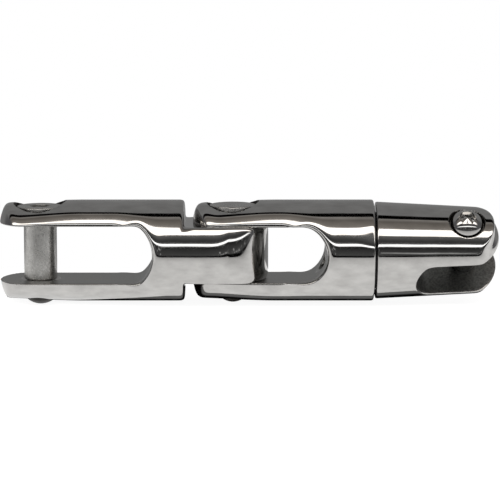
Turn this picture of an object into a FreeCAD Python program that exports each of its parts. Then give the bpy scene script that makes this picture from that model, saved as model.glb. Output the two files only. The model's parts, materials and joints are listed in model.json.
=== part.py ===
"""Stainless double-jointed anchor swivel for 6 to 8 mm chain.

A fork with a tongue takes the anchor shank, a second fork hinges on that
tongue, and a chain jaw turns on a stud through the second fork's base.
Frame: origin on the anchor pin's axis, midway between the fork arms; +X runs
towards the chain, +Z up along the anchor pin.  Millimetres.
"""
import FreeCAD, Part
import math
import os

import Sketcher

DOCUMENT = FreeCAD.newDocument("anchor_swivel")
FAR = 40.0  # reach of a cut that only has to run past the metal

SIZES = (
    # round bar that both forks are cut from
    ("bar_radius", 14.0),
    ("bar_tip_radius", 13.2),
    ("bar_taper_end", 16.0),
    ("bar_edge_radius", 0.8),
    # fork arms, measured from the axis of the pin they carry
    ("fork_gap", 15.8),
    ("arm_tip", 11.1),
    ("arm_round_centre", 3.9),
    ("arm_round_radius", 15.0),
    ("arm_tip_lean", 1.5),
    ("anchor_slot_end", 31.3),
    ("anchor_slot_arc", 9.5),
    ("link_slot_end", 26.0),
    ("link_slot_arc", 7.95),
    # tongue that the second fork hinges on
    ("shoulder_place", 40.0),
    ("tongue_thickness", 15.6),
    ("tongue_round_radius", 13.9),
    ("tongue_length", 23.1),
    ("joint_place", 53.3),
    ("joint_bore_radius", 4.6),
    # pin seats in the fork arms
    ("head_recess_radius", 7.0),
    ("head_seat", 10.0),
    # anchor pin
    ("anchor_pin_radius", 4.55),
    ("anchor_neck_radius", 4.2),
    ("anchor_pin_bore_radius", 4.62),
    ("anchor_head_radius", 6.3),
    ("anchor_head_top", 12.7),
    ("anchor_thread_radius", 4.0),
    ("anchor_thread_bore_radius", 4.05),
    ("anchor_countersink_radius", 5.4),
    ("anchor_tail_tip", 14.95),
    ("anchor_tail_dome", 5.8),
    ("anchor_key_width", 5.0),
    ("anchor_key_depth", 1.8),
    # riveted joint pin
    ("joint_pin_radius", 4.5),
    ("joint_pin_bore_radius", 4.52),
    ("joint_head_radius", 6.3),
    ("joint_head_top", 13.2),
    ("joint_tail_radius", 3.6),
    ("joint_tail_bore_radius", 3.62),
    ("joint_tail_tip", 14.45),
    ("joint_tail_dome", 5.0),
    # swivel: fork base, stud, washers
    ("link_base_end", 38.9),
    ("seam_gap", 1.0),
    ("seam_washer_thickness", 0.9),
    ("seam_washer_radius", 10.5),
    ("stud_seat", 29.6),
    ("stud_recess_radius", 6.1),
    ("stud_head_radius", 5.8),
    ("stud_head_thickness", 2.5),
    ("stud_head_crown", 0.5),
    ("stud_shank_radius", 4.0),
    ("stud_bore_radius", 4.1),
    ("stud_thread_radius", 3.9),
    ("stud_thread_bore_radius", 3.92),
    ("stud_thread_length", 8.4),
    ("stud_hole_depth", 9.0),
    ("thrust_washer_thickness", 1.0),
    ("washer_play", 0.05),
    # roll pin that locks the stud in the jaw
    ("lock_pin_radius", 1.25),
    ("lock_pin_bore_radius", 1.27),
    ("lock_pin_place", 4.6),
    ("lock_pin_top", 12.6),
    ("lock_pin_bottom", 6.0),
    # chain jaw, measured from the seam face
    ("jaw_roll", 41.0),
    ("jaw_radius", 13.4),
    ("jaw_screw_place", 24.2),
    ("jaw_screw_radius", 12.15),
    ("jaw_length", 33.4),
    ("jaw_slot_width", 11.2),
    ("jaw_slot_start", 10.5),
    ("jaw_slot_arc", 6.3),
    ("ear_round_radius", 11.65),
    ("ear_tip_lean", 2.1),
    ("ear_recess_radius", 4.95),
    ("ear_seat", 9.4),
    # chain pin, a domed socket screw with a flat washer
    ("chain_pin_radius", 3.5),
    ("chain_neck_radius", 3.2),
    ("chain_pin_bore_radius", 3.55),
    ("chain_thread_radius", 3.0),
    ("chain_thread_bore_radius", 3.03),
    ("chain_thread_tip", 11.4),
    ("chain_head_radius", 3.7),
    ("chain_head_face_radius", 2.9),
    ("chain_head_rim", 12.6),
    ("chain_head_top", 14.1),
    ("chain_key_width", 4.0),
    ("chain_key_depth", 2.4),
    ("chain_washer_radius", 4.7),
    ("chain_washer_thickness", 0.9),
)


def write_sheet():
    """Put the driving dimensions in a spreadsheet, one alias a row."""
    sheet = DOCUMENT.addObject("Spreadsheet::Sheet", "sizes")
    for row, (name, number) in enumerate(SIZES, start=1):
        sheet.set(f"A{row}", name)
        sheet.set(f"B{row}", str(number))
        sheet.setAlias(f"B{row}", name)
    DOCUMENT.recompute()
    return sheet


SHEET = write_sheet()


def cells(text):
    """Spell an expression out: every size name becomes sizes.name."""
    words = []
    word = ""
    for letter in text + " ":
        if letter.isalpha() or letter == "_":
            word += letter
            continue
        words.append("sizes." + word if word and hasattr(SHEET, word) else word)
        words.append(letter)
        word = ""
    return "".join(words).strip()


def number(text):
    """Work out an expression's present value."""
    return float(SHEET.evalExpression(cells(text)))


def new_body(label):
    body = DOCUMENT.addObject("PartDesign::Body", label)
    body.Label = label
    return body


def new_sketch(body, name, plane, along="0", across="0", out="0"):
    """Attach a sketch to an origin plane, moved by three expressions."""
    sketch = body.newObject("Sketcher::SketchObject", name)
    support = next(item for item in body.Origin.OriginFeatures if item.Role == plane)
    sketch.AttachmentSupport = (support, "")
    sketch.MapMode = "FlatFace"
    for axis, text in (("x", along), ("y", across), ("z", out)):
        if text != "0":
            sketch.setExpression(f"AttachmentOffset.Base.{axis}", cells(text))
    return sketch


def pin_point(sketch, edge, end, place):
    """Fix one end of an edge by its two coordinates."""
    for axis, kind, text in ((-2, "DistanceX", place[0]), (-1, "DistanceY", place[1])):
        if text == "0":
            sketch.addConstraint(Sketcher.Constraint("PointOnObject", edge, end, axis))
            continue
        index = sketch.addConstraint(
            Sketcher.Constraint(kind, -1, 1, edge, end, number(text)))
        sketch.setExpression(f"Constraints[{index}]", cells(text))


def arc_edge(start, finish, radius):
    """Short arc, anticlockwise for a positive radius; says which end is first."""
    clockwise = radius < 0
    radius = abs(radius)
    if clockwise:
        start, finish = finish, start
    chord = finish - start
    rise = math.sqrt(max(radius ** 2 - (chord.Length / 2) ** 2, 0.0))
    left = FreeCAD.Vector(-chord.y, chord.x, 0).normalize()
    centre = (start + finish) / 2 + left * rise
    angles = [math.atan2(end.y - centre.y, end.x - centre.x) for end in (start, finish)]
    if angles[1] < angles[0]:
        angles[1] += 2 * math.pi
    circle = Part.Circle(centre, FreeCAD.Vector(0, 0, 1), radius)
    return Part.ArcOfCircle(circle, *angles), clockwise


def outline(sketch, corners):
    """Draw a closed outline.

    A corner is (x, y), or (x, y, turn, radius) when the edge leaving it is an
    arc: turn is +1 for anticlockwise, -1 for clockwise.
    """
    places = [FreeCAD.Vector(number(item[0]), number(item[1]), 0) for item in corners]
    ends = []
    for index, corner in enumerate(corners):
        start = places[index]
        finish = places[(index + 1) % len(corners)]
        if len(corner) == 2:
            edge = sketch.addGeometry(Part.LineSegment(start, finish))
            ends.append((edge, 1, 2))
            continue
        curve, flipped = arc_edge(start, finish, corner[2] * number(corner[3]))
        edge = sketch.addGeometry(curve)
        ends.append((edge, 2, 1) if flipped else (edge, 1, 2))
    for index, corner in enumerate(corners):
        edge, first, _ = ends[index]
        before, _, last = ends[index - 1]
        sketch.addConstraint(Sketcher.Constraint("Coincident", before, last, edge, first))
        pin_point(sketch, edge, first, corner)
        if len(corner) == 4:
            radius = sketch.addConstraint(
                Sketcher.Constraint("Radius", edge, number(corner[3])))
            sketch.setExpression(f"Constraints[{radius}]", cells(corner[3]))


def circle(sketch, radius, along="0"):
    """Draw a circle on the sketch's horizontal axis."""
    centre = FreeCAD.Vector(number(along), 0, 0)
    edge = sketch.addGeometry(Part.Circle(centre, FreeCAD.Vector(0, 0, 1), number(radius)))
    pin_point(sketch, edge, 3, (along, "0"))
    index = sketch.addConstraint(Sketcher.Constraint("Radius", edge, number(radius)))
    sketch.setExpression(f"Constraints[{index}]", cells(radius))


def hexagon(sketch, width):
    """Draw a hexagon of the given width across flats about the origin."""
    corner = f"{width} / 2"
    point = f"{width} / sqrt(3)"
    half = f"{width} / 2 / sqrt(3)"
    outline(sketch, (
        ("0", point), (f"-({corner})", half), (f"-({corner})", f"-({half})"),
        ("0", f"-({point})"), (corner, f"-({half})"), (corner, half)))


def spin(body, name, sketch, axis, kind="PartDesign::Revolution", angle=360.0):
    """Turn an outline about one of its sketch's axes."""
    feature = body.newObject(kind, name)
    feature.Profile = sketch
    feature.ReferenceAxis = (sketch, [axis])
    feature.Angle = angle
    feature.Midplane = True
    DOCUMENT.recompute()
    return feature


def cut(body, name, sketch, length="0", reverse=False):
    """Pocket an outline: both ways right through, or one way for a length."""
    feature = body.newObject("PartDesign::Pocket", name)
    feature.Profile = sketch
    before = body.Shape.Volume
    if length == "0":
        feature.Type = "ThroughAll"
        feature.SideType = "Symmetric"
    else:
        feature.Type = "Length"
        feature.Reversed = reverse
        feature.setExpression("Length", cells(length))
    DOCUMENT.recompute()
    if not body.Shape.Volume < before - 0.01:
        raise RuntimeError(f"{body.Label}: {name} cut nothing")
    return feature


def round_edges(body, name, radius, wanted):
    """Fillet the edges of the body that the test picks out."""
    base = body.Tip
    names = [f"Edge{index}" for index, edge in enumerate(base.Shape.Edges, start=1)
             if wanted(edge)]
    if not names:
        raise RuntimeError(f"{body.Label}: {name} found no edge")
    feature = body.newObject("PartDesign::Fillet", name)
    feature.Base = (base, names)
    feature.setExpression("Radius", cells(radius))
    DOCUMENT.recompute()
    return feature


def turned_piece(label, corners, plane="XZ_Plane", axis="V_Axis"):
    """Turn one solid piece from half of its section."""
    body = new_body(label)
    sketch = new_sketch(body, "section", plane)
    outline(sketch, corners)
    spin(body, "turning", sketch, axis)
    return body


def cut_slot(body, width, far, end, arc):
    """Cut a slot along X whose closed end is one arc."""
    half = f"{width} / 2"
    toward = 1 if number(end) > number(far) else -1
    sag = f"({arc} - sqrt({arc} ^ 2 - ({half}) ^ 2))"
    corner = f"{end} - {sag}" if toward > 0 else f"{end} + {sag}"
    low = f"-({half})"
    sketch = new_sketch(body, "slot_outline", "XZ_Plane")
    outline(sketch, (
        (far, low), (corner, low, toward, arc), (corner, half), (far, half)))
    cut(body, "slot", sketch)


def round_tips(body, centre, radius, lean, height, side):
    """Round the arm tips in plan, leaning in towards the outside of the bar."""
    tip = f"{radius}" if side > 0 else f"-{radius}"
    outer = f"{radius} - {lean}" if side > 0 else f"-({radius} - {lean})"
    reach = str(side * FAR)
    inner = f"{height} / 2"
    top = "bar_radius + 1"
    sketch = new_sketch(body, "tip_outline", "XZ_Plane", along=centre)
    outline(sketch, (
        (tip, f"-({inner})"), (tip, inner), (outer, top),
        (reach, top), (reach, f"-({top})"), (outer, f"-({top})")))
    before = body.Shape.Volume
    spin(body, "tip_rounding", sketch, "V_Axis", "PartDesign::Groove", 180.0)
    if not body.Shape.Volume < before - 1:
        raise RuntimeError(f"{body.Label}: tips not rounded")


def bore(body, name, radius, start, length, upward, along="0"):
    """Bore a round hole along Z from a height, up or down."""
    sketch = new_sketch(body, name + "_outline", "XY_Plane", out=start)
    circle(sketch, radius, along)
    cut(body, name, sketch, length, reverse=upward)


def fork_bar(body, corners):
    """Turn the bar that a fork is cut from."""
    sketch = new_sketch(body, "bar_outline", "XZ_Plane")
    outline(sketch, corners)
    spin(body, "bar", sketch, "H_Axis")


def pin_seats(body, shank_bore, tail_bore):
    """Recess and bore the upper arm, and bore the lower arm for the pin's tail."""
    bore(body, "head_recess", "head_recess_radius", "head_seat", "bar_radius", True)
    bore(body, "upper_bore", shank_bore, "0", "bar_radius", True)
    bore(body, "lower_bore", tail_bore, "0", "bar_radius + 1", False)


def is_round_end(place):
    """Pick the full circle where the bar's side meets a flat end at X = place."""
    def wanted(edge):
        box = edge.BoundBox
        flat = abs(box.XMin - place) < 0.01 and abs(box.XMax - place) < 0.01
        return flat and box.ZLength > 20
    return wanted


def anchor_fork():
    """Fork for the anchor shank, ending in the tongue of the hinge."""
    body = new_body("anchor_fork")
    end = "shoulder_place + tongue_length"
    fork_bar(body, (
        ("-arm_tip", "0"), ("-arm_tip", "bar_tip_radius"),
        ("bar_taper_end", "bar_radius"), (end, "bar_radius"), (end, "0")))
    shoulders(body)
    round_tongue(body)
    cut_slot(body, "fork_gap", str(-FAR), "anchor_slot_end", "anchor_slot_arc")
    round_tips(body, "arm_round_centre", "arm_round_radius", "arm_tip_lean", "fork_gap", -1)
    pin_seats(body, "anchor_pin_bore_radius", "anchor_thread_bore_radius")
    countersink(body)
    bore(body, "joint_bore", "joint_bore_radius", "-bar_radius", "2 * bar_radius", True,
         along="joint_place")
    return body


def shoulders(body):
    """Mill the two flats that leave the tongue, up to square shoulders."""
    half = "tongue_thickness / 2"
    far = str(2 * FAR)
    top = "bar_radius + 1"
    sketch = new_sketch(body, "flats_outline", "XZ_Plane")
    outline(sketch, (
        ("shoulder_place", half), (far, half), (far, top), ("shoulder_place", top)))
    cut(body, "upper_flat", sketch)
    sketch = new_sketch(body, "lower_flat_outline", "XZ_Plane")
    outline(sketch, (
        ("shoulder_place", f"-({top})"), (far, f"-({top})"),
        (far, f"-({half})"), ("shoulder_place", f"-({half})")))
    cut(body, "lower_flat", sketch)


def round_tongue(body):
    """Round the tongue's end in plan, as wide as the bar."""
    half = "tongue_thickness / 2 + 0.1"
    sketch = new_sketch(body, "tongue_outline", "XZ_Plane",
                        along="shoulder_place + tongue_length - tongue_round_radius")
    outline(sketch, (
        ("tongue_round_radius", f"-({half})"), (str(FAR), f"-({half})"),
        (str(FAR), half), ("tongue_round_radius", half)))
    spin(body, "tongue_rounding", sketch, "V_Axis", "PartDesign::Groove", 180.0)


def countersink(body):
    """Cone at the mouth of the lower arm's thread."""
    rim = "anchor_countersink_radius"
    thread = "anchor_thread_bore_radius"
    face = "-fork_gap / 2"
    sketch = new_sketch(body, "countersink_outline", "XZ_Plane")
    outline(sketch, (
        ("0", f"{face} + 0.01"), ("0", f"{face} - ({rim} - {thread})"),
        (thread, f"{face} - ({rim} - {thread})"), (rim, face), (rim, f"{face} + 0.01")))
    spin(body, "countersink", sketch, "V_Axis", "PartDesign::Groove", 360.0)


def swivel_fork():
    """Fork that hinges on the tongue and carries the swivel stud in its base."""
    body = new_body("swivel_fork")
    fork_bar(body, (
        ("-arm_tip", "0"), ("-arm_tip", "bar_tip_radius"),
        ("bar_taper_end", "bar_radius"), ("link_base_end", "bar_radius"),
        ("link_base_end", "0")))
    round_edges(body, "base_edge", "bar_edge_radius", is_round_end(number("link_base_end")))
    cut_slot(body, "fork_gap", str(-FAR), "link_slot_end", "link_slot_arc")
    round_tips(body, "arm_round_centre", "arm_round_radius", "arm_tip_lean", "fork_gap", -1)
    pin_seats(body, "joint_pin_bore_radius", "joint_tail_bore_radius")
    recess = new_sketch(body, "stud_recess_outline", "YZ_Plane", out="stud_seat")
    circle(recess, "stud_recess_radius")
    cut(body, "stud_recess", recess, "bar_radius")
    shank = new_sketch(body, "stud_bore_outline", "YZ_Plane", out="link_base_end")
    circle(shank, "stud_bore_radius")
    cut(body, "stud_bore", shank, "bar_radius")
    body.setExpression("Placement.Base.x", "sizes.joint_place")
    return body


def socket(body, width, top, depth):
    """Sink a hexagon socket into a head that faces up."""
    sketch = new_sketch(body, "socket_outline", "XY_Plane", out=top)
    hexagon(sketch, width)
    cut(body, "socket", sketch, depth)


def anchor_pin():
    """Removable pin: flat head with a hexagon socket, plain shank, domed thread end."""
    radius = "anchor_pin_radius"
    thread = "anchor_thread_radius"
    face = "fork_gap / 2"
    dome_edge = ("-anchor_tail_tip + anchor_tail_dome"
                 " - sqrt(anchor_tail_dome ^ 2 - anchor_thread_radius ^ 2)")
    body = turned_piece("anchor_pin", (
        ("0", "-anchor_tail_tip", 1, "anchor_tail_dome"), (thread, dome_edge),
        (thread, f"-{face} - ({radius} - {thread})"), (radius, f"-{face}"),
        (radius, face), ("anchor_neck_radius", face), ("anchor_neck_radius", "head_seat"),
        ("anchor_head_radius", "head_seat"), ("anchor_head_radius", "anchor_head_top"),
        ("0", "anchor_head_top")))
    socket(body, "anchor_key_width", "anchor_head_top", "anchor_key_depth")
    return body


def joint_pin():
    """Riveted hinge pin: flat head above, peened dome below."""
    tail = "joint_tail_radius"
    face = "fork_gap / 2"
    dome_edge = ("-joint_tail_tip + joint_tail_dome"
                 " - sqrt(joint_tail_dome ^ 2 - joint_tail_radius ^ 2)")
    body = turned_piece("joint_pin", (
        ("0", "-joint_tail_tip", 1, "joint_tail_dome"), (tail, dome_edge),
        (tail, f"-{face}"), ("joint_pin_radius", f"-{face}"),
        ("joint_pin_radius", "head_seat"), ("joint_head_radius", "head_seat"),
        ("joint_head_radius", "joint_head_top"), ("0", "joint_head_top")))
    body.setExpression("Placement.Base.x", "sizes.joint_place")
    return body


def swivel_stud():
    """Stud whose head sits in the fork's base and whose thread holds the jaw."""
    seat = "-(seam_gap + link_base_end - stud_seat) - thrust_washer_thickness - washer_play"
    head = f"{seat} - stud_head_thickness"
    rise = "stud_head_crown"
    dome = f"(stud_head_radius ^ 2 + {rise} ^ 2) / 2 / {rise}"
    body = turned_piece("swivel_stud", (
        (f"{head} - {rise}", "0"), ("stud_thread_length", "0"),
        ("stud_thread_length", "stud_thread_radius"), ("0", "stud_thread_radius"),
        ("0", "stud_shank_radius"), (seat, "stud_shank_radius"),
        (seat, "stud_head_radius"), (head, "stud_head_radius", 1, dome)),
        axis="H_Axis")
    hole = new_sketch(body, "lock_outline", "XZ_Plane")
    circle(hole, "lock_pin_bore_radius", "lock_pin_place")
    cut(body, "lock_hole", hole)
    place_with_jaw(body)
    return body


def washer(label, start, thickness, inner, outer):
    """Flat washer square to X in the jaw's frame."""
    body = turned_piece(label, (
        (start, inner), (f"{start} + {thickness}", inner),
        (f"{start} + {thickness}", outer), (start, outer)), axis="H_Axis")
    place_with_jaw(body)
    return body


def place_with_jaw(body):
    """Stand a piece in the jaw's frame: at the seam, rolled about X."""
    body.setExpression(
        "Placement",
        "placement(vector(sizes.joint_place + sizes.link_base_end + sizes.seam_gap; 0; 0);"
        " rotation(vector(1; 0; 0); sizes.jaw_roll))")


def stud_lock_pin():
    """Roll pin through the jaw and the stud, driven in from the jaw's side."""
    body = new_body("stud_lock_pin")
    sketch = new_sketch(body, "round", "XZ_Plane", along="lock_pin_place",
                        out="-lock_pin_top")
    circle(sketch, "lock_pin_radius")
    feature = body.newObject("PartDesign::Pad", "length")
    feature.Profile = sketch
    feature.setExpression("Length", cells("lock_pin_top + lock_pin_bottom"))
    DOCUMENT.recompute()
    place_with_jaw(body)
    return body


def chain_jaw():
    """Jaw that takes the chain's last link between two rounded ears."""
    body = new_body("chain_jaw")
    slope = "(jaw_radius - jaw_screw_radius) / jaw_screw_place"
    tip_radius = f"jaw_radius - {slope} * jaw_length"
    fork_bar(body, (
        ("0", "0"), ("jaw_length", "0"), ("jaw_length", tip_radius), ("0", "jaw_radius")))
    round_edges(body, "seam_edge", "bar_edge_radius", is_round_end(0.0))
    cut_slot(body, "jaw_slot_width", str(2 * FAR), "jaw_slot_start", "jaw_slot_arc")
    round_tips(body, "jaw_length - ear_round_radius", "ear_round_radius", "ear_tip_lean",
               "jaw_slot_width", 1)
    bore(body, "ear_recess", "ear_recess_radius", "ear_seat", "bar_radius", True,
         along="jaw_screw_place")
    bore(body, "upper_ear_bore", "chain_pin_bore_radius", "0", "bar_radius", True,
         along="jaw_screw_place")
    bore(body, "lower_ear_bore", "chain_thread_bore_radius", "0", "bar_radius", False,
         along="jaw_screw_place")
    thread = new_sketch(body, "stud_hole_outline", "YZ_Plane")
    circle(thread, "stud_thread_bore_radius")
    cut(body, "stud_hole", thread, "stud_hole_depth", reverse=True)
    lock = new_sketch(body, "lock_hole_outline", "XZ_Plane", out="-bar_radius - 1")
    circle(lock, "lock_pin_bore_radius", "lock_pin_place")
    cut(body, "lock_hole", lock, "bar_radius + 1 + lock_pin_bottom", reverse=True)
    place_with_jaw(body)
    return body


def chain_pin():
    """Screw that closes the jaw: domed head, hexagon socket, shank and thread."""
    seat = "(ear_seat + chain_washer_thickness)"
    face = "jaw_slot_width / 2"
    body = turned_piece("chain_pin", (
        ("0", "-chain_thread_tip"), ("chain_thread_radius", "-chain_thread_tip"),
        ("chain_thread_radius", f"-{face}"), ("chain_pin_radius", f"-{face}"),
        ("chain_pin_radius", face), ("chain_neck_radius", face),
        ("chain_neck_radius", seat), ("chain_head_radius", seat),
        ("chain_head_radius", "chain_head_rim", 1, "2 * chain_head_top - 2 * chain_head_rim"),
        ("chain_head_face_radius", "chain_head_top"), ("0", "chain_head_top")))
    socket(body, "chain_key_width", "chain_head_top", "chain_key_depth")
    place_at_chain_screw(body)
    return body


def chain_pin_washer():
    body = turned_piece("chain_pin_washer", (
        ("chain_pin_bore_radius", "ear_seat"), ("chain_washer_radius", "ear_seat"),
        ("chain_washer_radius", "ear_seat + chain_washer_thickness"),
        ("chain_pin_bore_radius", "ear_seat + chain_washer_thickness")))
    place_at_chain_screw(body)
    return body


def place_at_chain_screw(body):
    """Stand a piece on the axis of the jaw's screw."""
    body.setExpression(
        "Placement",
        "placement(vector(sizes.joint_place + sizes.link_base_end + sizes.seam_gap"
        " + sizes.jaw_screw_place; 0; 0); rotation(vector(1; 0; 0); sizes.jaw_roll))")


def build():
    """Make every piece of the swivel."""
    back_of_seam = "-seam_gap"
    stud_face = "-(seam_gap + link_base_end - stud_seat) - thrust_washer_thickness"
    return [
        anchor_fork(), anchor_pin(), swivel_fork(), joint_pin(), chain_jaw(),
        swivel_stud(), stud_lock_pin(), chain_pin(), chain_pin_washer(),
        washer("seam_washer", back_of_seam, "seam_washer_thickness",
               "stud_bore_radius", "seam_washer_radius"),
        washer("thrust_washer", stud_face, "thrust_washer_thickness",
               "stud_bore_radius", "stud_head_radius"),
    ]


def check(bodies):
    """Stop unless every object is sound and every piece is one valid solid."""
    for item in DOCUMENT.Objects:
        if "Invalid" in item.State or "Error" in item.State:
            raise RuntimeError(f"{item.Label} did not build: {item.State}")
    for body in bodies:
        shape = body.Shape
        if shape.isNull() or not shape.isValid() or len(shape.Solids) != 1:
            raise RuntimeError(f"{body.Label} is not one valid solid")


def write_parts(bodies):
    os.makedirs("parts", exist_ok=True)
    for body in bodies:
        body.Shape.exportStep(os.path.join("parts", body.Label + ".step"))
        box = body.Shape.BoundBox
        print(f"{body.Label}: {body.Shape.Volume:.0f} mm3, X {box.XMin:.2f} to {box.XMax:.2f},"
              f" Y {box.YMin:.2f} to {box.YMax:.2f}, Z {box.ZMin:.2f} to {box.ZMax:.2f}")


PIECES = build()
DOCUMENT.recompute()
check(PIECES)
write_parts(PIECES)
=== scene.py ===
"""Polished double-jointed anchor swivel, lying on a pale table.

The three castings and the three visible pins are remade as smooth polished
metal from distance fields, in millimetres, in the CAD frame: +X towards the
chain, +Z along the anchor pin, origin on that pin.  The washers, the stud and
its lock pin keep their CAD meshes.
"""
import json
import math

import bpy
import numpy as np
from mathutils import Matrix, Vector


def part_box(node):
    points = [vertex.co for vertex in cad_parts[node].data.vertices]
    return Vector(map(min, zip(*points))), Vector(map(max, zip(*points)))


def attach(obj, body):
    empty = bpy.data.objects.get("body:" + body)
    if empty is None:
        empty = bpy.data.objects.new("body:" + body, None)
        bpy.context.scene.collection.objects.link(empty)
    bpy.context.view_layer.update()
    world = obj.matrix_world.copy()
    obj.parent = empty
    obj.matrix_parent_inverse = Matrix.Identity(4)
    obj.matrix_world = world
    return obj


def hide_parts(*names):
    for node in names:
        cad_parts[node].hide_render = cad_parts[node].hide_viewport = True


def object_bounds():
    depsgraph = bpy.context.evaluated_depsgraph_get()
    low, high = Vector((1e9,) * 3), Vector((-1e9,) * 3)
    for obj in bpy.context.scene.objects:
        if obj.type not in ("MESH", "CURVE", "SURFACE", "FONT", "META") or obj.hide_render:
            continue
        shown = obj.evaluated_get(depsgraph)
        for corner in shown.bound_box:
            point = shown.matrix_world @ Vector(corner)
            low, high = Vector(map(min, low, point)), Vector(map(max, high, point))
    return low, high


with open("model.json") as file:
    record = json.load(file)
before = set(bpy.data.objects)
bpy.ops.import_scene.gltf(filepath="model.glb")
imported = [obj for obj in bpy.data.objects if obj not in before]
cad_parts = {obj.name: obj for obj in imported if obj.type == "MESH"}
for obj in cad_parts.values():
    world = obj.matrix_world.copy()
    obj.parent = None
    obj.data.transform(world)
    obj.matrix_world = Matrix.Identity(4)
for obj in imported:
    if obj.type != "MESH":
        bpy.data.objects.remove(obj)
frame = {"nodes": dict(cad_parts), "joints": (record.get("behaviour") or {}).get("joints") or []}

CAD_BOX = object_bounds()
MM = 0.001
JOINTS = {joint["name"]: joint for joint in frame["joints"]}


def low(node, axis):
    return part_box(node)[0][axis] / MM


def high(node, axis):
    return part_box(node)[1][axis] / MM


# Places along X, read from the frame
HINGE_X = JOINTS["fork_hinge"]["pos_m"][0] / MM
ANCHOR_TIP_X = low("anchor_fork", 0)
TONGUE_TIP_X = high("anchor_fork", 0)
LINK_TIP_X = low("swivel_fork", 0)
LINK_BASE_X = high("swivel_fork", 0)
SEAM_X = low("chain_jaw", 0)
JAW_TIP_X = high("chain_jaw", 0)
SCREW_X = (low("chain_pin", 0) + high("chain_pin", 0)) / 2
SCREW_AXIS = JOINTS["chain_pin_draw"]["axis"]
JAW_ROLL = math.atan2(-SCREW_AXIS[1], SCREW_AXIS[2])

# Round bar that the forks are cut from
BAR_RADIUS = 14.0
BAR_TIP_RADIUS = 13.2
OUTSIDE = 20.0                      # clear of the bar on every side
FORK_GAP = 15.8
EDGE_ROLL = 0.12                    # rounding of the gap's edges, and what its closed end adds
SLOT_ROLL = 2.0
ANCHOR_SLOT = (31.3, 9.5)           # closed end's X from the pin, and its arc
LINK_SLOT = (25.8, 7.95)
ARM_ROUND_RADIUS = 13.0
SHOULDER_X = 40.0
TONGUE_HALF = 7.8
TONGUE_NOSE = (11.0, 14.0)          # length and half width of the oval nose
BASE_TILT = 24.0
BASE_DEPTHS = (14.6, 0.75)          # of the flats on the middle fork, and how far they close in

# Polished flats along the arms: tilts in degrees, distances out from the axis
FLAT_TILT = 30.0
FLAT_DEPTH = 13.18
FLAT_FADE = 2.0
EDGE_TILT = 6.0
EDGE_DEPTHS = (11.0, 9.38)          # upper and lower arms
EDGE_FADES = (3.0, 8.0)

# Bores and recesses for the pins: radii, upper arm first, and heights
HEAD_RECESS = (7.2, 9.9)
ANCHOR_BORES = (4.62, 4.05)
ANCHOR_SINK = 5.4
JOINT_BORES = (4.52, 3.62)
TONGUE_BORE = 4.6
STUD_HEAD_BORE = (6.1, 15.6, 29.6)  # radius, then from and to along X from the hinge
STUD_BORE = (4.1, 20.0, 60.0)

# Jaw
JAW_RADIUS = 13.4
JAW_LIP = 0.5
JAW_SLOPE = (13.4 - 12.15) / 24.2
JAW_SLOT = (10.5, 6.3)
JAW_GAP = 11.2
JAW_BEVEL = 0.3
EAR_RADIUS = 12.8
EAR_LEAN = 1.6
WASHER_RADIUS = 10.7
SCREW_RECESS = (4.95, 9.4)
SCREW_BORES = (3.55, 3.03)
STUD_THREAD = (3.92, 9.0)           # radius and depth from the seam
LOCK_PIN = (1.27, 4.6)              # radius and X from the seam
SCREW_ROOM = 0.85                   # how far the visual screw goes past the CAD one's box
SCREW_NECK = 9.5

# Sockets in the heads: width across flats
ANCHOR_KEY = 5.0
SCREW_KEY = 4.2


# ---------------------------------------------------------------- fields
# A field is about the distance from a surface, negative inside the metal.

def blend_max(first, second, radius):
    """Larger of two fields, the crease rounded to about a radius by a cubic."""
    width = radius / 0.57
    near = np.maximum(width - np.abs(first - second), 0.0) / width
    return np.maximum(first, second) + near ** 3 * width / 6


def cut_away(body, tool, radius):
    """Body without the tool, the new edge rounded."""
    return blend_max(body, -tool, radius)


def ease(value, start, stop):
    """Smooth step from 0 at start to 1 at stop."""
    share = np.clip((value - start) / (stop - start), 0.0, 1.0)
    return share * share * (3 - 2 * share)


def rod(across, along, value, radius, start, stop):
    """Solid cylinder between two heights."""
    return np.maximum(np.hypot(across, along) - radius, np.maximum(start - value, value - stop))


def slot(x, height, gap, end, arc, soft):
    """Slot open towards -X whose closed end at X = end is an arc."""
    centre = end - arc
    return blend_max(np.abs(height) - gap / 2,
                     np.hypot(np.maximum(x - centre, 0.0), height) - arc, soft)


def fade_in(distance):
    """Keeps a rounded end's field well inside the bar behind the round."""
    return 0.6 * np.maximum(distance, 0.0)


def round_tip(x, y, z, tip, lean):
    """Arm ends: round in plan, leaning in towards the outside of the bar."""
    outward = np.clip((np.abs(z) - FORK_GAP / 2) / (BAR_RADIUS - FORK_GAP / 2), 0.0, 1.0)
    back = x - tip - ARM_ROUND_RADIUS
    plan = np.hypot(np.minimum(back, 0.0), y)
    return plan - (ARM_ROUND_RADIUS - lean * outward ** 1.5) - fade_in(back)


def flats(y, z, degrees):
    """Distance out along the four flats tilted up and down by an angle."""
    tilt = math.radians(degrees)
    return np.abs(y) * math.cos(tilt) + np.abs(z) * math.sin(tilt)


def fork_bar(x, y, z, depth):
    """Round bar, a little thinner at the arm tips, with polished flats eased onto its arms."""
    radius = BAR_RADIUS - (BAR_RADIUS - BAR_TIP_RADIUS) * ease(-x, -12.0, 12.0)
    body = blend_max(np.hypot(y, z) - radius, flats(y, z, FLAT_TILT) - depth, 0.6)
    lean = math.radians(EDGE_TILT)
    upper, lower = (edge + fade * (depth - FLAT_DEPTH)
                    for edge, fade in zip(EDGE_DEPTHS, EDGE_FADES))
    strip = np.abs(y) * math.cos(lean) + z * math.sin(lean) - np.where(z > 0, upper, lower)
    return blend_max(body, strip, 0.15)


def anchor_hollow(x, y, z):
    """Slot between the arms of the anchor fork."""
    return slot(x, z, FORK_GAP, *ANCHOR_SLOT, 0.8)


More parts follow.
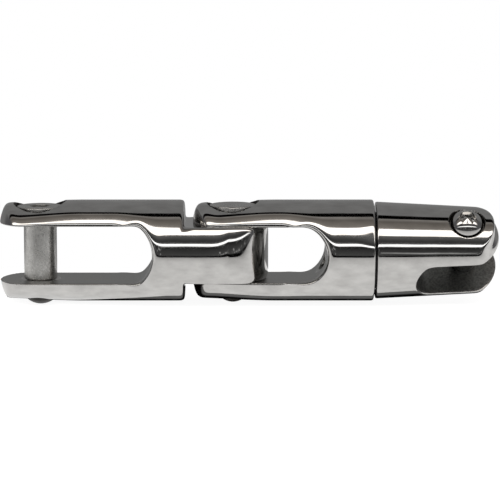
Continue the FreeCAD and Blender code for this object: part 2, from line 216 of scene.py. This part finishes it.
def link_hollow(x, y, z):
    """Slot between the arms of the swivel fork."""
    return slot(x - HINGE_X, z, FORK_GAP, *LINK_SLOT, 0.8)


def jaw_hollow(x, y, z):
    """Slot that takes the chain, open towards +X."""
    x, _, along = jaw_frame(x, y, z)
    end = JAW_TIP_X - SEAM_X
    return slot(end - x, along, JAW_GAP, end - JAW_SLOT[0], JAW_SLOT[1], 0.8)


def anchor_recess(x, y, z):
    """Round recess for the anchor pin's head."""
    radius, floor = HEAD_RECESS
    return rod(x, y, z, radius, floor - 0.1, OUTSIDE)


def joint_recess(x, y, z):
    """Round recess for the joint pin's head."""
    return anchor_recess(x - HINGE_X, y, z)


def jaw_recess(x, y, z):
    """Round recess for the screw's head, above its floor."""
    x, across, along = jaw_frame(x, y, z)
    radius, floor = SCREW_RECESS
    return rod(x - SCREW_X + SEAM_X, across, along, radius, floor + 0.1, OUTSIDE)


def anchor_fork_field(x, y, z):
    """Left fork, and the tongue behind its shoulder that the middle fork hinges on."""
    body = fork_bar(x, y, z, FLAT_DEPTH + FLAT_FADE * ease(x, 20.0, 43.0))
    body = blend_max(body, round_tip(x, y, z, ANCHOR_TIP_X, 2.0), 1.1)
    body = cut_away(body, anchor_hollow(x, y, z), EDGE_ROLL + SLOT_ROLL * ease(x, 21.0, 30.0))
    notch = blend_max(SHOULDER_X - x, TONGUE_HALF - np.abs(z), 0.7)
    body = cut_away(body, notch, 1.1 - 0.6 * ease(x, SHOULDER_X, SHOULDER_X + 3.0))
    length, half_width = TONGUE_NOSE
    start = TONGUE_TIP_X - length
    nose = np.hypot(np.maximum(x - start, 0.0) / length, y / half_width) - 1.0
    body = blend_max(body, nose * half_width - fade_in(start - x), 1.8)
    body = cut_away(body, rod(x, y, z, *HEAD_RECESS, OUTSIDE), 0.2)
    body = cut_away(body, rod(x, y, z, ANCHOR_BORES[0], 0.0, OUTSIDE), 0.15)
    body = cut_away(body, rod(x, y, z, ANCHOR_BORES[1], -OUTSIDE, 0.0), 0.15)
    sink = np.maximum(np.hypot(x, y) - (ANCHOR_SINK + (FORK_GAP / 2 + z)), z)
    body = cut_away(body, sink, 0.15)
    return cut_away(body, rod(x - HINGE_X, y, z, TONGUE_BORE, -OUTSIDE, OUTSIDE), 0.3)


def swivel_fork_field(x, y, z):
    """Middle fork, with the seat for the stud's head in its base."""
    hollow = link_hollow(x, y, z)
    x = x - HINGE_X
    base = LINK_BASE_X - HINGE_X
    body = fork_bar(x, y, z, FLAT_DEPTH + FLAT_FADE * ease(x, 13.0, 35.0))
    depth, close_in = BASE_DEPTHS
    base_flats = flats(y, z, BASE_TILT) - (depth - close_in * ease(x, 29.0, base))
    body = blend_max(body, base_flats, 0.25)
    body = blend_max(body, x - base, 0.55)
    body = blend_max(body, round_tip(x, y, z, LINK_TIP_X - HINGE_X, 1.6), 1.6)
    body = cut_away(body, hollow, EDGE_ROLL + SLOT_ROLL * ease(x, 14.0, 24.5))
    body = cut_away(body, rod(x, y, z, *HEAD_RECESS, OUTSIDE), 0.2)
    body = cut_away(body, rod(x, y, z, JOINT_BORES[0], 0.0, OUTSIDE), 0.15)
    body = cut_away(body, rod(x, y, z, JOINT_BORES[1], -OUTSIDE, 0.0), 0.15)
    body = cut_away(body, rod(y, z, x, *STUD_HEAD_BORE), 0.2)
    return cut_away(body, rod(y, z, x, *STUD_BORE), 0.2)


def jaw_frame(x, y, z):
    """Coordinates from the seam, across the jaw and along its screw."""
    sine, cosine = math.sin(JAW_ROLL), math.cos(JAW_ROLL)
    return x - SEAM_X, y * cosine + z * sine, z * cosine - y * sine


def chain_jaw_field(x, y, z):
    """Tapering jaw with two rounded ears and the recess for the screw's head."""
    hollow = jaw_hollow(x, y, z)
    x, across, along = jaw_frame(x, y, z)
    washer = np.maximum(np.hypot(across, along) - WASHER_RADIUS, x - 0.02)
    body = np.hypot(across, along) - (JAW_RADIUS - JAW_SLOPE * x)
    body = blend_max(body, -JAW_LIP - x, 0.5)
    body = cut_away(body, washer, 0.15)
    centre = JAW_TIP_X - SEAM_X - EAR_RADIUS
    lean = EAR_LEAN * ease(np.abs(along), JAW_GAP / 2, 9.5)
    plan = np.hypot(np.maximum(x - centre, 0.0), across)
    body = blend_max(body, plan - (EAR_RADIUS - lean) - fade_in(centre - x), 0.6)
    bevel = (body - hollow + JAW_BEVEL) * math.sqrt(0.5)
    body = blend_max(cut_away(body, hollow, 0.1), bevel, 0.12)
    aside = x - (SCREW_X - SEAM_X)
    body = cut_away(body, rod(aside, across, along, *SCREW_RECESS, OUTSIDE), 0.2)
    body = cut_away(body, rod(aside, across, along, SCREW_BORES[0], 0.0, OUTSIDE), 0.15)
    body = cut_away(body, rod(aside, across, along, SCREW_BORES[1], -OUTSIDE, 0.0), 0.15)
    radius, depth = STUD_THREAD
    body = cut_away(body, rod(across, along, x, radius, -5.0, depth), 0.15)
    radius, place = LOCK_PIN
    return cut_away(body, rod(x - place, along, across, radius, 0.0, OUTSIDE), 0.15)


def hexagon(x, y, width):
    """Hexagonal prism's field across a socket."""
    slant = np.abs(x) * math.cos(math.pi / 6) + np.abs(y) * 0.5
    return np.maximum(slant, np.abs(y)) - width / 2


def stack(radius, value, steps, soft):
    """Turned pin: (radius, bottom, top) steps joined into one."""
    body = None
    for size, bottom, top in steps:
        step = blend_max(radius - size, np.maximum(bottom - value, value - top), soft)
        body = step if body is None else np.minimum(body, step)
    return body


def ball_end(radius, value, centre, size, start):
    """Ball that rounds a pin's end beyond start and leaves the rest alone."""
    return np.hypot(radius, value - centre) - size - 8.0 * np.maximum(start - value, 0.0)


def anchor_pin_field(x, y, z):
    """Head, neck, shank and tail of the pin across the left fork."""
    radius = np.hypot(x, y)
    body = stack(radius, z, ((6.4, 10.0, 12.4), (4.2, 7.0, 10.5), (4.55, -7.9, 7.9),
                             (4.0, -16.0, -7.0)), 0.3)
    body = blend_max(body, ball_end(radius, -z, 9.15, 5.8, 9.0), 0.3)
    return cut_away(body, np.maximum(hexagon(x, y, ANCHOR_KEY), 10.8 - z), 0.15)


def joint_pin_field(x, y, z):
    """Head, shank and tail of the riveted hinge pin."""
    x = x - HINGE_X
    radius = np.hypot(x, y)
    body = stack(radius, z, ((6.5, 10.0, 12.75), (4.5, -7.9, 10.5), (3.6, -16.0, -7.0)), 0.3)
    return blend_max(body, ball_end(radius, -z, 9.45, 5.0, 9.4), 0.3)


def screw_shank(x, y, z):
    """Below the chain screw's head: the shank, which takes the near-black painted shade."""
    return jaw_frame(x, y, z)[2] - SCREW_NECK


def chain_pin_field(x, y, z):
    """Head, neck, shank and thread of the screw across the jaw."""
    x, across, along = jaw_frame(x, y, z)
    x = x - (SCREW_X - SEAM_X)
    radius = np.hypot(x, across)
    body = stack(radius, along, ((4.5, 10.2, 13.9), (3.2, 5.0, 10.8), (3.5, -5.6, 5.6),
                                 (3.0, -11.4, -5.0)), 0.15)
    body = blend_max(body, ball_end(radius, along, 9.2, 5.0, 10.1), 0.15)
    floor = 13.4 - 0.45 * radius
    return cut_away(body, np.maximum(hexagon(x, across, SCREW_KEY), floor - along), 0.12)


# ---------------------------------------------------------------- meshing

CORNERS = np.array([(i, j, k) for i in (0, 1) for j in (0, 1) for k in (0, 1)])
CELL_EDGES = [(a, b) for a in range(8) for b in range(a + 1, 8)
              if np.abs(CORNERS[a] - CORNERS[b]).sum() == 1]


def slopes(field, points, reach=0.02):
    """Gradient of a field at points, by central differences."""
    result = np.empty_like(points)
    for axis in range(3):
        shift = np.zeros(3)
        shift[axis] = reach
        ahead, behind = points + shift, points - shift
        result[:, axis] = (field(*ahead.T) - field(*behind.T)) / (2 * reach)
    return result


def settle(field, points, rounds):
    """Move points onto the field's zero surface."""
    for _ in range(rounds):
        slope = slopes(field, points)
        size = np.maximum((slope ** 2).sum(1), 0.05)
        step = (field(*points.T) / size)[:, None] * slope
        points = points - np.clip(step, -0.3, 0.3)
    return points


def net(field, start, stop, pitch):
    """Surface net: one vertex in each cell that the surface crosses, one face an edge."""
    axes = [np.arange(a - 2.5 * pitch, b + 3.0 * pitch, pitch) for a, b in zip(start, stop)]
    values = field(axes[0][:, None, None], axes[1][None, :, None], axes[2][None, None, :])
    inside = values < 0
    counts = np.array(values.shape) - 1
    total = np.zeros(counts, np.int8)
    for i, j, k in CORNERS:
        total += inside[i:counts[0] + i, j:counts[1] + j, k:counts[2] + k]
    cells = np.argwhere((total > 0) & (total < 8))
    number = np.full(counts, -1)
    number[tuple(cells.T)] = np.arange(len(cells))
    ends = [values[tuple((cells + corner).T)] for corner in CORNERS]
    place = np.zeros((len(cells), 3))
    hits = np.zeros(len(cells))
    for a, b in CELL_EDGES:
        crossed = (ends[a] < 0) != (ends[b] < 0)
        share = np.where(crossed, ends[a] / np.where(crossed, ends[a] - ends[b], 1.0), 0.0)
        spot = CORNERS[a] + share[:, None] * (CORNERS[b] - CORNERS[a])
        place += np.where(crossed[:, None], spot, 0.0)
        hits += crossed
    points = (cells + place / hits[:, None]) * pitch + [axis[0] for axis in axes]
    return points, net_faces(inside, number)


def net_faces(inside, number):
    """Quads round every grid edge that crosses the surface, facing outwards."""
    faces = []
    for axis in range(3):
        one, two = (axis + 1) % 3, (axis + 2) % 3
        count = inside.shape[axis] - 1
        here = np.take(inside, range(count), axis)
        there = np.take(inside, range(1, count + 1), axis)
        for edges, flip in ((here & ~there, False), (~here & there, True)):
            spots = np.argwhere(edges)
            ring = []
            for back_one, back_two in ((0, 0), (1, 0), (1, 1), (0, 1)):
                cell = spots.copy()
                cell[:, one] -= back_one
                cell[:, two] -= back_two
                ring.append(number[tuple(cell.T)])
            faces.append(np.stack(ring[::-1] if flip else ring, 1))
    return np.concatenate(faces)


def relax(field, points, faces, rounds):
    """Even the net out along the surface."""
    for _ in range(rounds):
        middle = np.zeros_like(points)
        weight = np.zeros(len(points))
        for corner in range(4):
            for other in (corner - 1, (corner + 1) % 4):
                np.add.at(middle, faces[:, corner], points[faces[:, other]])
                np.add.at(weight, faces[:, corner], 1.0)
        points = points + 0.5 * (middle / weight[:, None] - points)
        points = settle(field, points, 1)
    return points


def pin_tail(x, y, z):
    """Below the lower arms, where the pin tails take the painted shade."""
    return z + 12.0


def cast(name, field, node, body, materials, pitch, regions=(), room=0.0):
    """Make one piece from its field and let it stand for its CAD node.

    The regions are pairs of a field and a margin: faces nearer to the first
    than its margin take the second material, and so on, the first match winning.
    """
    start, stop = (np.array(corner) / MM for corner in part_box(node))
    start, stop = start - room, stop + room
    points, faces = net(field, start, stop, pitch)
    points = settle(field, points, 2)
    points = relax(field, points, faces, 3)
    points = settle(field, points, 2)
    points = np.clip(points, start, stop)
    normals = slopes(field, points)
    normals /= np.linalg.norm(normals, axis=1)[:, None]
    mesh = bpy.data.meshes.new(name)
    mesh.from_pydata((points * MM).tolist(), [], faces.tolist())
    mesh.shade_smooth()
    mesh.normals_split_custom_set_from_vertices(normals.tolist())
    for material in materials:
        mesh.materials.append(material)
    centres = points[faces].mean(1)
    choice = np.zeros(len(faces), np.int32)
    for number in range(len(regions), 0, -1):
        region, margin = regions[number - 1]
        choice[region(*centres.T) < margin] = number
    mesh.polygons.foreach_set("material_index", choice)
    piece = bpy.data.objects.new(name, mesh)
    bpy.context.scene.collection.objects.link(piece)
    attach(piece, body)
    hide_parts(node)
    return piece


# ---------------------------------------------------------------- materials

def node_material(name):
    """New material with its nodes, links and principled shader."""
    material = bpy.data.materials.new(name)
    material.use_nodes = True
    tree = material.node_tree
    return material, tree, tree.nodes["Principled BSDF"]


def noise(tree, scale, stretch=(1, 1, 1), detail=2.0):
    """Noise over the piece's own coordinates, in metres, stretched by a factor an axis."""
    place = tree.nodes.new("ShaderNodeTexCoord")
    mapping = tree.nodes.new("ShaderNodeMapping")
    texture = tree.nodes.new("ShaderNodeTexNoise")
    mapping.inputs["Scale"].default_value = stretch
    texture.inputs["Scale"].default_value = scale
    texture.inputs["Detail"].default_value = detail
    tree.links.new(place.outputs["Object"], mapping.inputs["Vector"])
    tree.links.new(mapping.outputs["Vector"], texture.inputs["Vector"])
    return texture.outputs["Fac"]


def spread(tree, value, lowest, highest, start=0.3, stop=0.7):
    """Map a value between start and stop onto a range."""
    node = tree.nodes.new("ShaderNodeMapRange")
    node.inputs["From Min"].default_value = start
    node.inputs["From Max"].default_value = stop
    node.inputs["To Min"].default_value = lowest
    node.inputs["To Max"].default_value = highest
    tree.links.new(value, node.inputs["Value"])
    return node.outputs["Result"]


def tint(tree, value, dark, light):
    """Colour ramp between two colours."""
    node = tree.nodes.new("ShaderNodeValToRGB")
    node.color_ramp.elements[0].position = 0.3
    node.color_ramp.elements[1].position = 0.7
    node.color_ramp.elements[0].color = (*dark, 1)
    node.color_ramp.elements[1].color = (*light, 1)
    tree.links.new(value, node.inputs["Fac"])
    return node.outputs["Color"]


def bump(tree, height, depth, onto=None):
    """Bump of a depth in metres, on top of another bump if there is one."""
    node = tree.nodes.new("ShaderNodeBump")
    node.inputs["Strength"].default_value = 1.0
    node.inputs["Distance"].default_value = depth
    tree.links.new(height, node.inputs["Height"])
    if onto is not None:
        tree.links.new(onto, node.inputs["Normal"])
    return node.outputs["Normal"]


def polished_steel():
    """Cast stainless, hand polished: faint ripples, hairlines along the bar."""
    material, tree, shader = node_material("polished_steel")
    cloud = noise(tree, 90.0, (0.6, 1, 1))
    hairs = noise(tree, 900.0, (0.06, 1, 1), 4.0)
    speckle = noise(tree, 420.0, (0.5, 1, 1), 5.0)
    colour = tint(tree, speckle, (0.44, 0.434, 0.423), (0.55, 0.543, 0.53))
    tree.links.new(colour, shader.inputs["Base Color"])
    tree.links.new(spread(tree, hairs, 0.03, 0.1), shader.inputs["Roughness"])
    ripple = bump(tree, cloud, 0.00006)
    tree.links.new(bump(tree, hairs, 0.0000022, ripple), shader.inputs["Normal"])
    shader.inputs["Metallic"].default_value = 1.0
    return material


def blasted_steel(name, dark, light):
    """Milled, then blasted to a speckled grey for the slot faces; the darker copy in the jaw's slot
    adds painted shade, and the near-black copy on the screw's shank is painted shade.
    """
    material, tree, shader = node_material(name)
    grain = noise(tree, 1800.0, (1, 1, 1), 3.0)
    colour = tint(tree, grain, (dark, dark, 0.97 * dark), (light, light, 0.97 * light))
    tree.links.new(colour, shader.inputs["Base Color"])
    tree.links.new(spread(tree, grain, 0.3, 0.42), shader.inputs["Roughness"])
    tree.links.new(bump(tree, grain, 0.000008), shader.inputs["Normal"])
    shader.inputs["Metallic"].default_value = 1.0
    return material


def painted_shade_steel():
    """Painted shade: near-black steel on the head recesses and the pin tails, standing in for the
    shadow in the recesses and under the pins.
    """
    material, tree, shader = node_material("painted_shade_steel")
    cloud = noise(tree, 500.0)
    tree.links.new(tint(tree, cloud, (0.015, 0.014, 0.013), (0.05, 0.047, 0.044)),
                   shader.inputs["Base Color"])
    tree.links.new(spread(tree, cloud, 0.4, 0.6), shader.inputs["Roughness"])
    shader.inputs["Metallic"].default_value = 0.6
    return material


def satin_steel():
    """Turned stainless pins: fine grain, soft sheen."""
    material, tree, shader = node_material("satin_steel")
    grain = noise(tree, 2600.0, (1, 1, 0.5), 3.0)
    cloud = noise(tree, 300.0)
    colour = tint(tree, cloud, (0.40, 0.395, 0.38), (0.52, 0.515, 0.50))
    tree.links.new(colour, shader.inputs["Base Color"])
    tree.links.new(spread(tree, grain, 0.22, 0.42), shader.inputs["Roughness"])
    tree.links.new(bump(tree, grain, 0.00001), shader.inputs["Normal"])
    shader.inputs["Metallic"].default_value = 1.0
    return material


def black_acetal():
    material, tree, shader = node_material("black_acetal")
    grain = noise(tree, 1500.0)
    tree.links.new(tint(tree, grain, (0.008, 0.008, 0.009), (0.02, 0.02, 0.021)),
                   shader.inputs["Base Color"])
    tree.links.new(spread(tree, grain, 0.4, 0.6), shader.inputs["Roughness"])
    return material


def bronze():
    material, tree, shader = node_material("bronze")
    cloud = noise(tree, 400.0)
    tree.links.new(tint(tree, cloud, (0.34, 0.19, 0.08), (0.5, 0.31, 0.14)),
                   shader.inputs["Base Color"])
    tree.links.new(spread(tree, cloud, 0.25, 0.45), shader.inputs["Roughness"])
    shader.inputs["Metallic"].default_value = 1.0
    return material


def finish_cad_nodes(materials, nodes):
    """Give the CAD pieces that stay their materials."""
    for node, material in nodes.items():
        piece = frame["nodes"][node]
        piece.data.materials.clear()
        piece.data.materials.append(materials[material])


# ---------------------------------------------------------------- studio

# Camera, in metres
VIEW_ELEVATION = math.radians(8.5)
VIEW_DISTANCE = 0.665
VIEW_WIDTH = 0.1386
VIEW_ASIDE = 0.0003
SENSOR = 36.0

# Table and cards, in metres; y grows away from the camera
TABLE_REACH = 4.0
TABLE_BACK = 0.06
CARD_LIFT = 0.00004
BRIGHT_FRONT = -0.11
BRIGHT_FADE = (-0.11, -0.035)
SHADE_CORNER = 0.035                # X where the shade's front edge starts to slant back
SHADE_FRONT = -0.006
SHADE_LEFT = 0.002
SHADE_BACK = 0.03
SHADE_FADE = (-0.0042, -0.0028)
SIDE_GAP = 0.005
SIDE_BACK = 1.0

# The studio as seen from the object: angle up from the front horizon, over the top
# and down behind, in degrees, with the brightness there and how warm it is.
STUDIO = (
    (-180.0, 0.24, 0.0), (-90.0, 0.5, 0.0), (-9.0, 0.0, 0.0), (-5.0, 0.10, 0.0), (5.0, 0.06, 0.0),
    (15.0, 0.02, 0.0), (17.0, 2.6, 0.0), (22.0, 0.14, 0.0), (28.0, 0.05, 0.0), (34.0, 0.10, 0.0),
    (42.0, 0.20, 0.0), (43.0, 2.8, 0.05), (60.5, 0.34, 0.08), (68.0, 0.26, 0.1),
    (80.0, 0.17, 0.1), (88.0, 0.34, 0.06), (90.0, 0.0, 0.0), (100.5, 0.27, 0.0), (180.0, 0.26, 0.0),
)

# Edges that are sharp although the step in brightness is small
SHARP_EDGES = (-9.0, -5.0, 90.0, 100.5)

# Bright things in the room, reflected in the dark band near the front horizon
SPOT_MIDDLE = 5.0
SPOT_REACH = 9.0


def studio_stops():
    """The studio's angles, with a second stop just before each edge of a lamp or drape."""
    stops = []
    for here, ahead in zip(STUDIO, STUDIO[1:] + STUDIO[-1:]):
        stops.append(here)
        if abs(ahead[1] - here[1]) > 0.5 or ahead[0] in SHARP_EDGES:
            stops.append((ahead[0] - 0.5, *here[1:]))
    return stops


def math_node(tree, operation, *values):
    """Maths on sockets or constants."""
    node = tree.nodes.new("ShaderNodeMath")
    node.operation = operation
    for socket, value in zip(node.inputs, values):
        feed(tree, value, socket)
    return node.outputs[0]


def feed(tree, value, socket):
    """Link a socket in, or set a constant."""
    if isinstance(value, bpy.types.NodeSocket):
        tree.links.new(value, socket)
    else:
        socket.default_value = value


def mixed(tree, blend, factor, first, second):
    """Mix of two colours, each a socket or a constant."""
    node = tree.nodes.new("ShaderNodeMix")
    node.data_type = "RGBA"
    node.blend_type = blend
    for name, value in (("Factor", factor), ("A", first), ("B", second)):
        feed(tree, value, node.inputs[name])
    return node.outputs["Result"]


def lamps_and_drapes(tree, share):
    """The studio's brightness at an angle, given as a share of the whole turn."""
    ramp = tree.nodes.new("ShaderNodeValToRGB")
    ramp.color_ramp.interpolation = "LINEAR"
    elements = ramp.color_ramp.elements
    for index, (degrees, light, warmth) in enumerate(studio_stops()):
        position = (degrees + 180.0) / 360.0
        element = elements[index] if index < 2 else elements.new(position)
        element.position = position
        element.color = (light * (1 + warmth), light, light * (1 - warmth), 1)
    tree.links.new(share, ramp.inputs["Fac"])
    return ramp.outputs["Color"]


def room_spots(tree, direction, share):
    """A few bright things in the room."""
    room = tree.nodes.new("ShaderNodeTexNoise")
    room.inputs["Scale"].default_value = 9.0
    room.inputs["Detail"].default_value = 3.0
    tree.links.new(direction, room.inputs["Vector"])
    spots = spread(tree, room.outputs["Fac"], 0.0, 0.5, 0.6, 0.68)
    middle = (SPOT_MIDDLE + 180.0) / 360.0
    height = math_node(tree, "ABSOLUTE", math_node(tree, "SUBTRACT", share, middle))
    band = math_node(tree, "LESS_THAN", height, SPOT_REACH / 360.0)
    return math_node(tree, "MULTIPLY", spots, band)


def studio_world():
    """Strip lights and dark drapes that run along the object, white to the camera."""
    world = bpy.data.worlds.new("studio")
    bpy.context.scene.world = world
    world.use_nodes = True
    tree = world.node_tree
    place = tree.nodes.new("ShaderNodeTexCoord").outputs["Generated"]
    split = tree.nodes.new("ShaderNodeSeparateXYZ")
    tree.links.new(place, split.inputs["Vector"])
    forward = math_node(tree, "MULTIPLY", split.outputs["Y"], -1.0)
    angle = math_node(tree, "ARCTAN2", split.outputs["Z"], forward)
    share = math_node(tree, "MULTIPLY_ADD", angle, 0.5 / math.pi, 0.5)
    lit = mixed(tree, "ADD", 1.0, lamps_and_drapes(tree, share), room_spots(tree, place, share))
    sideways = math_node(tree, "ABSOLUTE", split.outputs["X"])
    ends = spread(tree, sideways, 0.0, 1.0, 0.8, 0.92)
    walled = mixed(tree, "MIX", ends, lit, (0.14, 0.14, 0.145, 1))
    path = tree.nodes.new("ShaderNodeLightPath")
    seen = mixed(tree, "MIX", path.outputs["Is Camera Ray"], walled, (1, 1, 1, 1))
    tree.links.new(seen, tree.nodes["Background"].inputs["Color"])


def sheet(name, corners, height, glow, fade=BRIGHT_FADE, paint=0.3):
    """Flat card: its glow goes from a front to a back value between two lines."""
    mesh = bpy.data.meshes.new(name)
    mesh.from_pydata([(x, y, height) for x, y in corners], [], [range(len(corners))])
    material, tree, shader = node_material(name)
    shader.inputs["Emission Strength"].default_value = glow[0]
    if glow[0] != glow[1]:
        place = tree.nodes.new("ShaderNodeTexCoord")
        split = tree.nodes.new("ShaderNodeSeparateXYZ")
        tree.links.new(place.outputs["Object"], split.inputs["Vector"])
        tree.links.new(spread(tree, split.outputs["Y"], *glow, *fade),
                       shader.inputs["Emission Strength"])
    shader.inputs["Base Color"].default_value = (paint, paint, paint, 1)
    shader.inputs["Roughness"].default_value = 0.9
    shader.inputs["Specular IOR Level"].default_value = 0.0
    shader.inputs["Emission Color"].default_value = (1, 1, 1, 1)
    mesh.materials.append(material)
    card = bpy.data.objects.new(name, mesh)
    bpy.context.scene.collection.objects.link(card)
    card.visible_shadow = False
    return card


def oblong(left, right, front, back):
    """Corners of a rectangular card."""
    return ((left, front), (right, front), (right, back), (left, back))


def table():
    """White table top, with the cards on it that only the metal reflects.

    The bright card fades towards the front; the dark one is the object's own
    contact shade; the side card lights the end of the jaw.
    """
    floor = CAD_BOX[0][2]
    left, right = CAD_BOX[0][0], CAD_BOX[1][0]
    top = sheet("table", oblong(-TABLE_REACH, TABLE_REACH, -TABLE_REACH, TABLE_BACK), floor,
                (0.92, 0.92))
    top.visible_glossy = False
    bright = sheet("bright_card", oblong(-TABLE_REACH, TABLE_REACH, BRIGHT_FRONT, TABLE_BACK),
                   floor + CARD_LIFT, (0.4, 0.85))
    outline = ((left, SHADE_BACK), (left, SHADE_LEFT), (SHADE_CORNER, SHADE_FRONT),
               (right, SHADE_FRONT), (right, SHADE_BACK))
    shade = sheet("contact_shade", outline, floor + 2 * CARD_LIFT, (0.18, 0.0), SHADE_FADE, 0.02)
    side = sheet("side_card", oblong(right + SIDE_GAP, TABLE_REACH, TABLE_BACK, SIDE_BACK), floor,
                 (0.7, 0.7))
    for card in (bright, shade, side):
        card.visible_camera = False
        card.visible_diffuse = False


def camera():
    """Long lens, level with the length, looking slightly down."""
    low_corner, high_corner = CAD_BOX
    middle = (low_corner[0] + high_corner[0]) / 2 + VIEW_ASIDE
    data = bpy.data.cameras.new("camera")
    data.sensor_width = SENSOR
    data.lens = SENSOR * VIEW_DISTANCE / VIEW_WIDTH
    data.clip_start = 0.01
    item = bpy.data.objects.new("camera", data)
    item.location = (middle, -VIEW_DISTANCE * math.cos(VIEW_ELEVATION),
                     VIEW_DISTANCE * math.sin(VIEW_ELEVATION))
    item.rotation_euler = (math.pi / 2 - VIEW_ELEVATION, 0, 0)
    bpy.context.scene.collection.objects.link(item)
    bpy.context.scene.camera = item


def build():
    bpy.context.scene.view_settings.view_transform = "Standard"
    camera()
    studio_world()
    table()
    materials = {"polished_steel": polished_steel(), "satin_steel": satin_steel(),
                 "black_acetal": black_acetal(), "bronze": bronze()}
    polished, satin = materials["polished_steel"], materials["satin_steel"]
    blasted = blasted_steel("blasted_steel", 0.31, 0.46)
    # Darker copy of the blasted finish for the jaw's slot: the blasted finish is real, and the
    # extra darkness is painted shade for the narrow slot.
    shaded_blast = blasted_steel("blasted_steel_with_shade", 0.2, 0.42)
    # Near-black copy of the blasted finish: painted shade on the screw's shank where it crosses the
    # jaw's slot.
    dark = blasted_steel("shank_painted_shade", 0.04, 0.1)
    painted_shade = painted_shade_steel()
    # The faces in the head recesses of the castings take the painted shade material (third in each
    # list).
    cast("anchor_fork_casting", anchor_fork_field, "anchor_fork", "anchor_end",
         (polished, blasted, painted_shade), 0.32,
         ((anchor_hollow, 0.03), (anchor_recess, 0.1)))
    cast("swivel_fork_casting", swivel_fork_field, "swivel_fork", "swivel_link",
         (polished, blasted, painted_shade), 0.32,
         ((link_hollow, 0.03), (joint_recess, 0.1)))
    # The jaw's slot faces take the darker blasted copy, which is partly painted shade.
    cast("chain_jaw_casting", chain_jaw_field, "chain_jaw", "jaw",
         (polished, shaded_blast, painted_shade), 0.28,
         ((jaw_hollow, 0.03), (jaw_recess, 0.1)), JAW_LIP)
    # The pin tails below the lower arms take the painted shade material.
    cast("anchor_pin_turned", anchor_pin_field, "anchor_pin", "anchor_pin",
         (satin, painted_shade), 0.2, ((pin_tail, 0.1),))
    cast("joint_pin_turned", joint_pin_field, "joint_pin", "swivel_link",
         (satin, painted_shade), 0.2, ((pin_tail, 0.1),))
    # The screw's shank takes the near-black painted shade.
    cast("chain_screw_turned", chain_pin_field, "chain_pin", "chain_pin",
         (polished, dark), 0.14, ((screw_shank, 0.03),), SCREW_ROOM)
    finish_cad_nodes(materials, {
        "swivel_stud": "satin_steel", "stud_lock_pin": "satin_steel",
        "chain_pin_washer": "satin_steel", "seam_washer": "black_acetal",
        "thrust_washer": "bronze"})


build()
